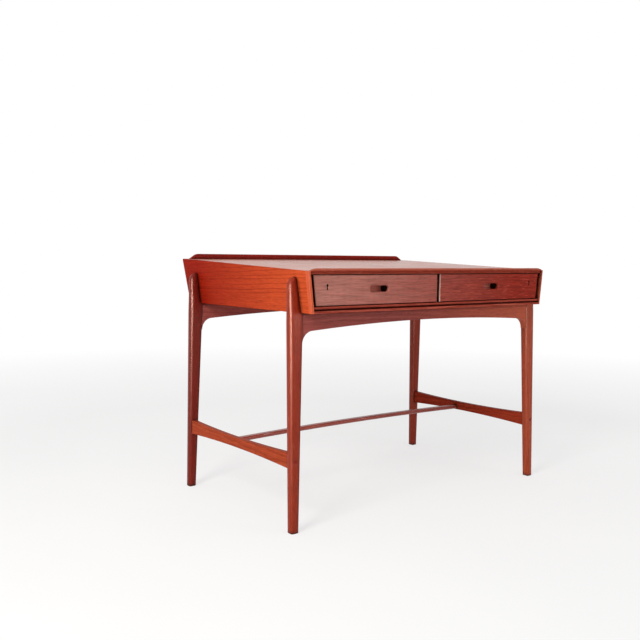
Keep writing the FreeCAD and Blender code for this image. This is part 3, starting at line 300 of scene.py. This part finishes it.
def wood(name, grain, tones, seed, pith, tilt=(0.02, 0.01), rings=130.0, wander=0.014, figure=0.5, lines=0.3,
         streaks=0.08, flecks=0.1, rough=0.34, specular=0.05, lustre=0.0, glint=BLUSH, wear_and_highlight=0.3, gloom=0.06,
         turned=None, pit=None, painted_end_light=None, painted_light=None):
    """Oiled wood cut from a log, with paler edges that are partly wear and partly a painted highlight,
    and painted shade in crevices.

    Pith, tilt, rings and wander place the log: where its middle runs, how that leans, its rings to the metre
    and how far they waver. Lustre is the share of light that the fibres give back in their own colour. Gloom
    is what is left of the colour in a crevice, where shade is painted in. Turned is a radius that rounds the
    edges. A pit is the deepest point of a hollow, around which the colour is painted dark as shade. The end
    corner is the lowest corner of a piece, whose cut end there is painted pale near the front as a painted
    highlight. Painted light, sheen and shade can also be laid along an axis."""
    tree = Tree(bpy.data.materials.new(name))
    place = tree.add("TexCoord").outputs["Object"]
    pattern = grain_pattern(tree, place, grain, seed, pith, tilt, rings, wander)
    colour = grain_colour(tree, place, pattern, tones, figure, lines, streaks, flecks, painted_light)

    # Paler edges: partly wear, partly a painted highlight along the edges
    soft, edge = tree.edges(EDGE_RADIUS)
    rubbed_and_lit = tree.math("MULTIPLY", edge, tree.remap(pattern.cloud, WEAR_AND_HIGHLIGHT_SPAN, WEAR_AND_HIGHLIGHT_LEAST * wear_and_highlight, wear_and_highlight))
    colour = tree.mix(rubbed_and_lit, colour, scaled(tones[-1], WEAR_AND_HIGHLIGHT_BRIGHTNESS, WEAR_AND_HIGHLIGHT_LIFT))
    # Painted shade: the colour darkens where little open sky is seen, in crevices, gaps and under overhangs
    open_sky = tree.add("AmbientOcclusion", {"Distance": CREVICE}, samples=CREVICE_SAMPLES).outputs["AO"]
    colour = tree.shade(colour, tree.remap(open_sky, CREVICE_SPAN, gloom, 1.0))
    # Painted shade: the colour turns dark around the deepest point of a hollow
    if pit is not None:
        away = tree.vector("DISTANCE", place, pit).outputs["Value"]
        colour = tree.mix(tree.remap(away, (PIT_REACH, PIT_REACH + PIT_BLUR), 1.0, 0.0), colour, PIT_PAINTED_SHADE)
    # Painted highlight: a cut end is painted pale near the front
    if painted_end_light is not None:
        axes = tree.axes(place)
        end, front = painted_end_light.xy
        at_end = tree.remap(axes[ALONG_X], (end, end + END_LIGHT_SLACK), 1.0, 0.0)
        near = tree.remap(axes[ALONG_Y], (front, front + END_LIGHT_REACH), 1.0, 0.0)
        end_light = tree.shade(END_PAINTED_LIGHT, tree.remap(pattern.fibre, NOISE_SPAN, *END_LIGHT_SHADES))
        colour = tree.mix(tree.math("MULTIPLY", at_end, near), colour, end_light)
    if turned:
        soft = tree.add("Bevel", {"Radius": turned}, samples=ROUND_SAMPLES).outputs["Normal"]

    smear = tree.noise(tree.vector("SCALE", place, SMEARS).outputs[0], detail=3.0).outputs["Fac"]
    smear = tree.remap(smear, NOISE_SPAN, rough - SMEAR_GLOSS, rough)
    gloss = tree.math("ADD", smear, tree.math("MULTIPLY", pattern.fibre, FIBRE_GLOSS))
    gloss = tree.math("MAXIMUM", gloss, tree.remap(open_sky, DULL_SPAN, 1.0, 0.0))
    height = tree.math("MULTIPLY", pattern.fibre, FIBRE_RELIEF)
    height = tree.math("SUBTRACT", height, tree.math("MULTIPLY", pattern.pore, PORE_RELIEF))
    bump = tree.add("Bump", {"Strength": GRAIN_RELIEF, "Distance": GRAIN_DEPTH, "Height": height,
                             "Normal": soft})
    return tree.close(tree.add("BsdfPrincipled", {
        "Base Color": colour,
        "Metallic": lustre,
        "Roughness": gloss,
        "Normal": bump.outputs["Normal"],
        "Specular IOR Level": specular,
        "Specular Tint": glint,
    }))


def metal(name, bright, dull, rough):
    """Dulled metal: fine brushing, tarnish in patches and paler edges."""
    tree = Tree(bpy.data.materials.new(name))
    place = tree.add("TexCoord").outputs["Object"]
    cloud = tree.noise(tree.vector("SCALE", place, TARNISH).outputs[0], detail=4.0).outputs["Fac"]
    brush = tree.noise(tree.vector("MULTIPLY", place, BRUSHING).outputs[0]).outputs["Fac"]
    soft, edge = tree.edges(BRASS_EDGE_RADIUS)
    colour = tree.mix(tree.remap(cloud, TARNISH_SPAN), bright, dull)
    wear_and_highlight = tree.math("MULTIPLY", edge, BRASS_WORN_SHARE)
    colour = tree.mix(wear_and_highlight, colour, scaled(bright, BRASS_BRIGHTNESS))
    gloss = tree.remap(cloud, NOISE_SPAN, rough - BRASS_POLISH, rough + BRASS_TARNISH)
    bump = tree.add("Bump", {"Strength": BRUSH_RELIEF, "Distance": BRUSH_DEPTH, "Height": brush,
                             "Normal": soft})
    return tree.close(tree.add("BsdfPrincipled", {
        "Base Color": colour,
        "Metallic": 1.0,
        "Roughness": gloss,
        "Normal": bump.outputs["Normal"],
    }))


# Dark, middle and light tone of each wood
SIDE = (srgb(106, 15, 6), srgb(143, 26, 11), srgb(162, 39, 17))
EDGING = (srgb(170, 66, 40), srgb(196, 88, 56), srgb(214, 110, 74))
# A darker copy of the edging follows, painted shade for the right edging; the one above is the lit copy for
# the left
EDGING_PAINTED_SHADE = (srgb(140, 58, 40), srgb(172, 82, 58), srgb(192, 104, 78))
LEG = (srgb(108, 29, 14), srgb(140, 45, 26), srgb(158, 64, 42))
# A shaded and then a lit copy of the leg follow, painted shade and painted light for single legs and a
# stretcher
SHADY_LEG = (srgb(84, 18, 12), srgb(114, 30, 20), srgb(132, 46, 32))
LEG_PAINTED_LIGHT = (srgb(122, 42, 22), srgb(160, 66, 40), srgb(180, 86, 56))
FRONT = (srgb(94, 20, 12), srgb(136, 34, 20), srgb(160, 54, 36))
LIP = (srgb(136, 58, 42), srgb(184, 100, 80), srgb(206, 128, 104))
RAIL = (srgb(114, 38, 29), srgb(158, 68, 54), srgb(194, 106, 88))
TOP = (srgb(142, 70, 48), srgb(182, 98, 70), srgb(204, 122, 92))
# The pull blocks' tone is paler than the fronts', painted light for the lit part of the hollow
PULL_PAINTED_LIGHT = (srgb(176, 84, 70), srgb(206, 112, 96), srgb(224, 138, 122))
DEEP = (srgb(101, 22, 17), srgb(137, 35, 27), srgb(155, 49, 39))
APRON = (srgb(108, 50, 46), srgb(147, 71, 65), srgb(166, 90, 82))
CARCASE = (srgb(110, 48, 32), srgb(148, 78, 52), srgb(172, 102, 72))
PALE = (srgb(168, 124, 78), srgb(204, 164, 112), srgb(222, 188, 140))

# Finishes that several pieces share
INSIDE = dict(figure=0.6, rough=0.52, specular=0.2, glint=WHITE)
LEG_FINISH = dict(figure=0.3, lines=0.12, streaks=0.05, rough=0.27, specular=0.15, turned=LEG_EDGE_RADIUS)
# The side panels are painted lighter and more orange towards the front, as painted light
SIDE_FINISH = dict(tilt=(0.0, 0.03), rings=110, wander=0.008, figure=0.4, lines=0.35, streaks=0.1,
                   specular=0.02, lustre=0.06, glint=AMBER, painted_light=PaintedLight(ALONG_Y, 0.25, -0.36, SIDE_PAINTED_LIGHT, 1.0))
FRONT_FINISH = dict(tilt=(0.01, 0.012), rings=120, wander=0.008, figure=0.55, streaks=0.2, flecks=0.35,
                    rough=0.33, specular=0.06, wear_and_highlight=0.9)

# Pieces in the middle of the desk
lip_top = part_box("front_lip_rail")[1].z
# The lip is painted dark below its top edge, as painted shade under its nose
lip_painted_shade = PaintedLight(ALONG_Z, lip_top - LIP_SHADE_START, lip_top - LIP_SHADE_FULL, PAINTED_LIP_SHADE, 0.8)
# The front apron is painted more golden towards the right, as painted light
apron_painted_light = PaintedLight(ALONG_X, -0.1, 0.45, APRON_PAINTED_LIGHT, 0.8)
materials = {
    "top_panel": wood("top_teak", ALONG_X, TOP, seed=1.3, pith=(0.05, 0.64), tilt=(0.03, 0.015), rings=120,
                      rough=0.30, specular=0.7, glint=WHITE),
    "front_lip_rail": wood("lip_teak", ALONG_X, LIP, seed=2.1, pith=(-0.30, 0.66), lines=0.7, specular=0.02,
                           wear_and_highlight=0.6, painted_light=lip_painted_shade),
    "back_gallery": wood("gallery_teak", ALONG_X, DEEP, seed=3.2, pith=(0.36, 0.70), specular=0.02),
    "front_bottom_rail": wood("bottom_rail_teak", ALONG_X, RAIL, seed=4.4, pith=(-0.36, 0.57), specular=0.0,
                              wear_and_highlight=0.9),
    "bottom_panel": wood("bottom_wood", ALONG_X, CARCASE, seed=5.1, pith=(0.05, 0.55), rings=110, **INSIDE),
    "back_panel": wood("back_teak", ALONG_X, LEG, seed=6.3, pith=(0.40, 0.36), rings=110),
    "centre_divider": wood("divider_wood", ALONG_Y, CARCASE, seed=7.2, pith=(0.06, 0.64), **INSIDE),
    "front_apron": wood("front_apron_teak", ALONG_X, APRON, seed=8.6, pith=(-0.34, 0.42), painted_light=apron_painted_light),
    "back_apron": wood("back_apron_teak", ALONG_X, APRON, seed=9.4, pith=(0.33, 0.42)),
    "centre_stretcher": wood("bar_teak", ALONG_X, LEG, seed=10.7, pith=(0.06, 0.16), specular=0.4,
                             glint=WHITE),
    "stretcher_plugs": wood("plug_teak", ALONG_Z, DEEP, seed=11.5, pith=(0.5, 0.3)),
    "drawer_stops": wood("stop_wood", ALONG_Y, PALE, seed=12.2, pith=(0.2, 0.6), **INSIDE),
    "lock_strike_plates": metal("lock_brass", srgb(205, 170, 105), srgb(140, 104, 58), rough=0.34),
}
bolt_brass = metal("bolt_brass", srgb(214, 182, 118), srgb(150, 116, 70), rough=0.30)

# Pieces on both sides, which differ in seed and tone. The legs, edgings and stretchers take lit and shaded
# copies of their tones, as painted light and painted shade; the drawer fronts carry a painted sheen, and the
# right one a painted highlight on its left end.
SIDES = {
    "left": SimpleNamespace(
        sign=-1, seed=20.0, edging=EDGING, front_leg=LEG, back_leg=SHADY_LEG, stretcher=LEG_PAINTED_LIGHT,
        # The drawer fronts are painted paler and mauve towards the left, a painted sheen, strongest on the
        # left drawer
        painted_end_light=None, front_painted_sheen=PaintedLight(ALONG_X, 0.30, -0.46, FRONT_PAINTED_SHEEN, 0.76)),
    "right": SimpleNamespace(
        sign=1, seed=30.0, edging=EDGING_PAINTED_SHADE, front_leg=LEG_PAINTED_LIGHT, back_leg=LEG, stretcher=LEG,
        painted_end_light=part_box("right_drawer_front")[0], front_painted_sheen=PaintedLight(ALONG_X, 0.35, 0.0, FRONT_PAINTED_SHEEN, 0.2)),
}
for side, look in SIDES.items():
    sign, seed = look.sign, look.seed
    # The painted shade in each pull's hollow centres past the lit part, towards the right end
    low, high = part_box(f"{side}_pull_block")
    pull_pit = (low + high) / 2 + Vector((PULL_LIT + PIT_REACH, 0.0, 0.0))
    materials.update({
        f"{side}_side_panel": wood(
            f"{side}_side_teak", ALONG_Y, SIDE, seed=seed + 0.3, pith=(sign * 0.47, 0.38), **SIDE_FINISH),
        f"{side}_side_edging": wood(
            f"{side}_edging_teak", ALONG_Z, look.edging, seed=seed + 1.2, pith=(sign * 0.45, -0.30)),
        f"{side}_side_stretcher": wood(
            f"{side}_stretcher_teak", ALONG_Y, look.stretcher, seed=seed + 2.4, pith=(sign * 0.46, 0.17),
            specular=0.01),
        f"{side}_front_leg": wood(
            f"{side}_front_leg_teak", ALONG_Z, look.front_leg, seed=seed + 3.1, pith=(sign * 0.42, -0.40),
            **LEG_FINISH),
        f"{side}_back_leg": wood(
            f"{side}_back_leg_teak", ALONG_Z, look.back_leg, seed=seed + 4.8, pith=(sign * 0.42, 0.38),
            **LEG_FINISH),
        f"{side}_drawer_front": wood(
            f"{side}_front_teak", ALONG_X, FRONT, seed=seed + 5.5, pith=(-0.38, 0.42),
            painted_end_light=look.painted_end_light, painted_light=look.front_painted_sheen, **FRONT_FINISH),
        # The pull block has no painted crevice shade; it is paler as painted light and dark at its far end as
        # painted shade
        f"{side}_pull_block": wood(
            f"{side}_pull_teak", ALONG_X, PULL_PAINTED_LIGHT, seed=seed + 6.6, pith=(-0.4, 0.46), gloom=1.0, pit=pull_pit),
        f"{side}_drawer_inner_side": wood(
            f"{side}_inner_board", ALONG_Y, PALE, seed=seed + 7.3, pith=(sign * 0.1, 0.6), **INSIDE),
        f"{side}_drawer_outer_side": wood(
            f"{side}_outer_board", ALONG_Y, PALE, seed=seed + 8.3, pith=(sign * 0.4, 0.6), **INSIDE),
        f"{side}_drawer_back": wood(
            f"{side}_back_board", ALONG_X, PALE, seed=seed + 9.1, pith=(0.1, 0.6), **INSIDE),
        f"{side}_drawer_bottom": wood(
            f"{side}_bottom_board", ALONG_X, PALE, seed=seed + 10.4, pith=(0.1, 0.5), rings=100, **INSIDE),
        f"{side}_lock_case": materials["lock_strike_plates"],
        f"{side}_lock_bolt": bolt_brass,
    })
    for step, strip in enumerate(("outer_runner", "inner_runner", "inner_kicker", "outer_kicker")):
        materials[f"{side}_{strip}"] = wood(
            f"{side}_{strip}_wood", ALONG_Y, PALE, seed=seed + 11.0 + step, pith=(0.1, 0.6), **INSIDE)

for name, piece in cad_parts.items():
    if not piece.material_slots:
        piece.data.materials.append(None)
    for slot in piece.material_slots:
        slot.material = materials[name]

# Camera, fitted to the photograph
PHOTO_WIDTH = 640.0
FOCAL_PIXELS = 808.08
EYE = Vector((-1.7824, -2.0538, 0.7567))
YAW, PITCH, ROLL = math.radians(37.774), math.radians(4.438), math.radians(0.545)
forward = Vector((math.sin(YAW) * math.cos(PITCH), math.cos(YAW) * math.cos(PITCH), -math.sin(PITCH)))
level = Vector((math.cos(YAW), -math.sin(YAW), 0.0))
upright = level.cross(forward)
right = level * math.cos(ROLL) + upright * math.sin(ROLL)
up = upright * math.cos(ROLL) - level * math.sin(ROLL)
camera = bpy.data.objects.new("camera", bpy.data.cameras.new("camera"))
camera.data.lens = camera.data.sensor_width * FOCAL_PIXELS / PHOTO_WIDTH
camera.matrix_world = Matrix.Translation(EYE) @ Matrix((right, up, -forward)).transposed().to_4x4()
scene.collection.objects.link(camera)
scene.camera = camera

# White floor that keeps the shadow near the desk and fades into the white surroundings
FLOOR_REACH = 40.0
FLOOR_FADE = (1.6, 4.2)
FLOOR_GLOW = 0.65
FLOOR_GREY = (0.86, 0.86, 0.86, 1.0)
FLOOR_PALE = (0.90, 0.90, 0.895, 1.0)
mesh = bpy.data.meshes.new("floor")
corners = [(FLOOR_REACH * x, FLOOR_REACH * y, 0.0) for x, y in ((-1, -1), (1, -1), (1, 1), (-1, 1))]
mesh.from_pydata(corners, [], [(0, 1, 2, 3)])
floor = bpy.data.objects.new("floor", mesh)
scene.collection.objects.link(floor)
tree = Tree(bpy.data.materials.new("white_floor"))
place = tree.add("TexCoord").outputs["Object"]
cloud = tree.noise(tree.vector("SCALE", place, FLOOR_CLOUDS).outputs[0], detail=3.0).outputs["Fac"]
paint = tree.mix(tree.remap(cloud, FLOOR_SPAN), FLOOR_GREY, FLOOR_PALE)
away = tree.vector("LENGTH", place, (0.0, 0.0, 0.0)).outputs["Value"]
glow = tree.math("MULTIPLY", tree.seen(), tree.remap(away, FLOOR_FADE, FLOOR_GLOW, 1.0))
matt = tree.add("BsdfDiffuse", {"Color": paint})
white = tree.add("Emission", {"Color": WHITE, "Strength": 1.0})
mesh.materials.append(tree.close(tree.add("MixShader", {0: glow, 1: matt.outputs[0], 2: white.outputs[0]})))

# White surroundings that light the desk more from the left
SKY_LEFT, SKY_RIGHT = 0.75, 0.32
tree = Tree(bpy.data.worlds.new("studio"))
across = tree.axes(tree.add("TexCoord").outputs["Generated"])[ALONG_X]
soft_light = tree.remap(across, (-1.0, 1.0), SKY_LEFT, SKY_RIGHT)
strength = tree.math("MAXIMUM", soft_light, tree.seen())
sky = tree.add("Background", {"Color": WHITE, "Strength": strength})
scene.world = tree.close(sky, "OutputWorld")

# Lamps, all turned to the middle of the desk, in metres and watts
AIM = Vector((0.0, 0.0, 0.5))
PLAIN_LIGHT = (1.0, 1.0, 1.0)
WINDOW_LIGHT = (1.0, 0.97, 0.93)
WARM_LIGHT = (1.0, 0.93, 0.84)


def lamp(name, place, width, height, power, colour=PLAIN_LIGHT):
    """A soft box that points at the desk and isn't seen itself."""
    data = bpy.data.lights.new(name, "AREA")
    data.shape = "RECTANGLE"
    data.size = width
    data.size_y = height
    data.energy = power
    data.color = colour
    light = bpy.data.objects.new(name, data)
    light.location = place
    light.rotation_euler = (AIM - Vector(place)).to_track_quat("-Z", "Y").to_euler()
    light.visible_camera = False
    scene.collection.objects.link(light)
    return light


lamp("window", (-2.9, -1.2, 2.1), width=1.0, height=1.4, power=74.0, colour=WINDOW_LIGHT)
fill = lamp("front_fill", (1.4, -2.74, 0.8), width=1.0, height=1.0, power=15.0)
fill.visible_glossy = False

# Cards that only show as a sheen in the polish
front_card = lamp("front_card", (1.1, -2.75, 0.8), width=1.5, height=0.7, power=27.0)
left_card = lamp("left_card", (-2.7, -1.3, 0.57), width=1.6, height=0.8, power=420.0, colour=WARM_LIGHT)
for card in (front_card, left_card):
    card.visible_diffuse = False
